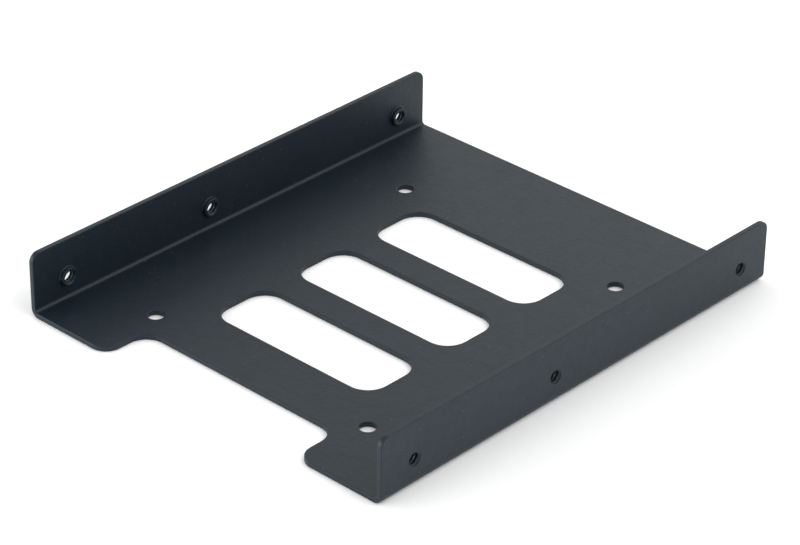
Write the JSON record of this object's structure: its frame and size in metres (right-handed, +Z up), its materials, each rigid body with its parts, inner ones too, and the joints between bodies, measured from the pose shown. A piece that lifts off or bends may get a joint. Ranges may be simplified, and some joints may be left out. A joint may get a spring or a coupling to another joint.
{
  "type": "drive mounting bracket",
  "caption": "Folded sheet-metal bracket with two tapped side flanges that holds a small disk drive in a larger drive bay.",
  "frame": {"origin": "middle of the bracket's footprint, on the plane of its underside", "axes": "+X across the bracket to the right flange, +Y from the notched front edge to the rear edge, +Z up along the flanges"},
  "size_m": [0.1016, 0.1196, 0.0151],
  "materials": {
    "powder_coat": "matt black powder coat with a fine grain"
  },
  "bodies": {
    "root": {"mounting_bracket": "powder_coat"}
  },
  "joints": []
}
